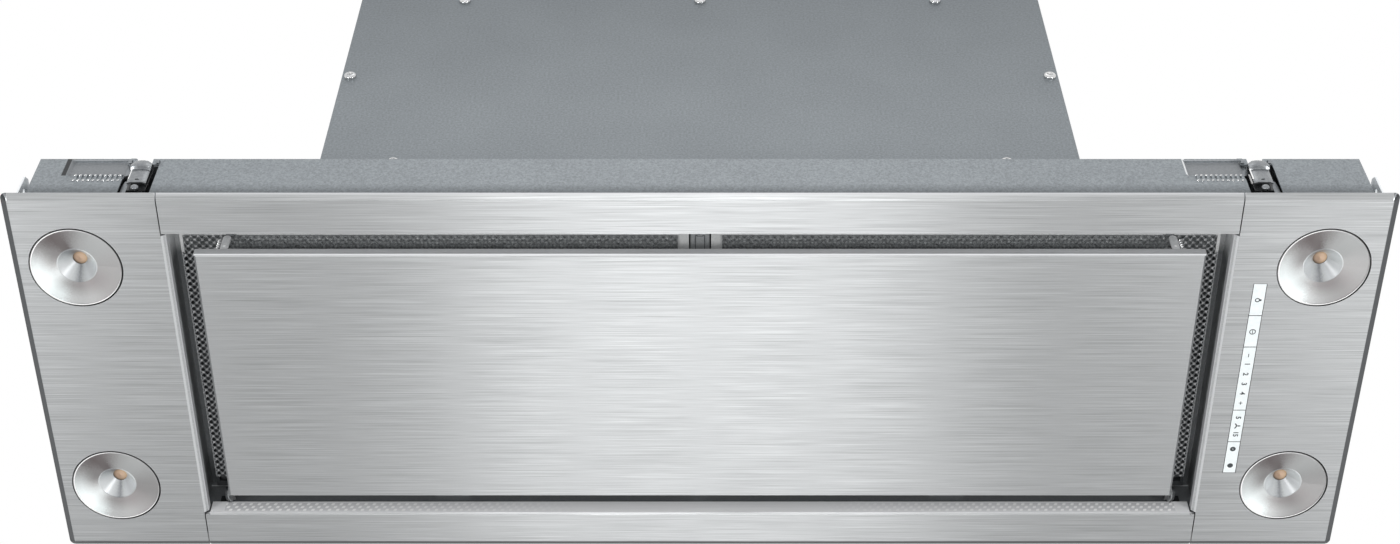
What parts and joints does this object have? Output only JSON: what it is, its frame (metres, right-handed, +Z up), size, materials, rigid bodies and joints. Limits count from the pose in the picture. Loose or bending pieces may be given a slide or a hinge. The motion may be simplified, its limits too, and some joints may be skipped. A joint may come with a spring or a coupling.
{
  "type": "ceiling range hood",
  "caption": "Built-in ceiling extractor hood with a drop-down perimeter-suction panel, grease filters, lamps, a key strip, ceiling clamps, a blower box and a duct collar with non-return flaps.",
  "frame": {"origin": "middle of the underside of the face, which is the lowest point of the hood", "axes": "+X to the right along the face, +Y from the open edge of the panel to its hinge, +Z up into the ceiling"},
  "size_m": [0.88, 0.29, 0.38],
  "materials": {
    "brushed_face": "brushed stainless, grain along X",
    "galvanised": "galvanised sheet",
    "filter_aluminium": "mill-finish aluminium",
    "bright_steel": "bright zinc plate",
    "lamp_satin": "satin turned aluminium",
    "lamp_mirror": "anodised reflector",
    "lamp_emitter": "yellow phosphor",
    "key_gloss": "glossy white with printed signs",
    "dark_plastic": "moulded black plastic",
    "board_green": "solder-masked board",
    "motor_paint": "dark paint",
    "rubber_bush": "soft black rubber"
  },
  "bodies": {
    "hood": {"cable_gland": "dark_plastic", "clamp_screws": "bright_steel", "control_board": "board_green", "control_tray": "dark_plastic", "cover_screws": "bright_steel", "electronics_box": "dark_plastic", "exhaust_collar": "dark_plastic", "filter_divider": "galvanised", "flap_pin": "bright_steel", "front_strip": "brushed_face", "hinge_brackets": "galvanised", "hinge_pins": "bright_steel", "housing_front_wall": "galvanised", "housing_left_wall": "galvanised", "housing_rear_wall": "galvanised", "housing_right_wall": "galvanised", "housing_top_plate": "galvanised", "lamp_clips": "bright_steel", "lamp_leds": "lamp_emitter", "lamp_modules": "dark_plastic", "lamp_reflectors": "lamp_mirror", "lamp_rims": "lamp_satin", "left_end_panel": "brushed_face", "left_filter_frame": "filter_aluminium", "left_filter_mesh": "filter_aluminium", "motor": "motor_paint", "motor_box_front_cover": "galvanised", "motor_box_left_wall": "galvanised", "motor_box_rear_wall": "galvanised", "motor_box_right_wall": "galvanised", "motor_box_top_plate": "galvanised", "motor_bracket": "galvanised", "motor_bushes": "rubber_bush", "panel_catches": "dark_plastic", "rear_strip": "brushed_face", "recess_frame": "galvanised", "right_end_panel": "brushed_face", "right_filter_frame": "filter_aluminium", "right_filter_mesh": "filter_aluminium", "scroll_left_half": "galvanised", "scroll_right_half": "galvanised", "side_brackets": "galvanised"},
    "panel": {"panel_skin": "brushed_face", "panel_backing": "galvanised", "panel_strikers": "bright_steel"},
    "impeller": {"impeller": "filter_aluminium", "motor_shaft": "bright_steel"},
    "left_flap": {"left_flap": "filter_aluminium"},
    "right_flap": {"right_flap": "filter_aluminium"},
    "left_filter_latch": {"left_filter_latch": "dark_plastic"},
    "right_filter_latch": {"right_filter_latch": "dark_plastic"},
    "key_light": {"key_light": "key_gloss"},
    "key_power": {"key_power": "key_gloss"},
    "key_level": {"key_level": "key_gloss"},
    "key_timer": {"key_timer": "key_gloss"},
    "key_filter": {"key_filter": "key_gloss"},
    "clamp_front_left": {"clamp_front_left": "bright_steel"},
    "clamp_front_right": {"clamp_front_right": "bright_steel"},
    "clamp_rear_left": {"clamp_rear_left": "bright_steel"},
    "clamp_rear_right": {"clamp_rear_right": "bright_steel"}
  },
  "joints": [
    {"name": "panel_hinge", "type": "hinge", "parent": "hood", "child": "panel", "pos_m": [0, 0.104, 0.009], "axis": [1, 0, 0], "range_deg": [0, 90]},
    {"name": "impeller_spin", "type": "hinge", "parent": "hood", "child": "impeller", "pos_m": [0, 0, 0.19], "axis": [1, 0, 0], "continuous": true},
    {"name": "left_flap_hinge", "type": "hinge", "parent": "hood", "child": "left_flap", "pos_m": [0, 0.029, 0.3415], "axis": [0, 1, 0], "range_deg": [0, 80]},
    {"name": "right_flap_hinge", "type": "hinge", "parent": "hood", "child": "right_flap", "pos_m": [0, 0.029, 0.3415], "axis": [0, -1, 0], "range_deg": [0, 80]},
    {"name": "left_filter_latch_slide", "type": "slide", "parent": "hood", "child": "left_filter_latch", "axis": [0, -1, 0], "range_m": [0, 0.005], "stiffness_N_per_m": 200, "springref_m": -0.005},
    {"name": "right_filter_latch_slide", "type": "slide", "parent": "hood", "child": "right_filter_latch", "axis": [0, -1, 0], "range_m": [0, 0.005], "stiffness_N_per_m": 200, "springref_m": -0.005},
    {"name": "key_light_press", "type": "slide", "parent": "hood", "child": "key_light", "axis": [0, 0, 1], "range_m": [0, 0.0008], "stiffness_N_per_m": 800, "springref_m": -0.0003},
    {"name": "key_power_press", "type": "slide", "parent": "hood", "child": "key_power", "axis": [0, 0, 1], "range_m": [0, 0.0008], "stiffness_N_per_m": 800, "springref_m": -0.0003},
    {"name": "key_timer_press", "type": "slide", "parent": "hood", "child": "key_timer", "axis": [0, 0, 1], "range_m": [0, 0.0008], "stiffness_N_per_m": 800, "springref_m": -0.0003},
    {"name": "key_filter_press", "type": "slide", "parent": "hood", "child": "key_filter", "axis": [0, 0, 1], "range_m": [0, 0.0008], "stiffness_N_per_m": 800, "springref_m": -0.0003},
    {"name": "key_level_rock", "type": "hinge", "parent": "hood", "child": "key_level", "pos_m": [0.36065, -0.0012, 0.003], "axis": [1, 0, 0], "range_deg": [-1.5, 1.5], "stiffness_Nm_per_rad": 0.5},
    {"name": "clamp_front_left_slide", "type": "slide", "parent": "hood", "child": "clamp_front_left", "axis": [0, 0, -1], "range_m": [0, 0.014]},
    {"name": "clamp_front_right_slide", "type": "slide", "parent": "hood", "child": "clamp_front_right", "axis": [0, 0, -1], "range_m": [0, 0.014]},
    {"name": "clamp_rear_left_slide", "type": "slide", "parent": "hood", "child": "clamp_rear_left", "axis": [0, 0, -1], "range_m": [0, 0.014]},
    {"name": "clamp_rear_right_slide", "type": "slide", "parent": "hood", "child": "clamp_rear_right", "axis": [0, 0, -1], "range_m": [0, 0.014]}
  ]
}
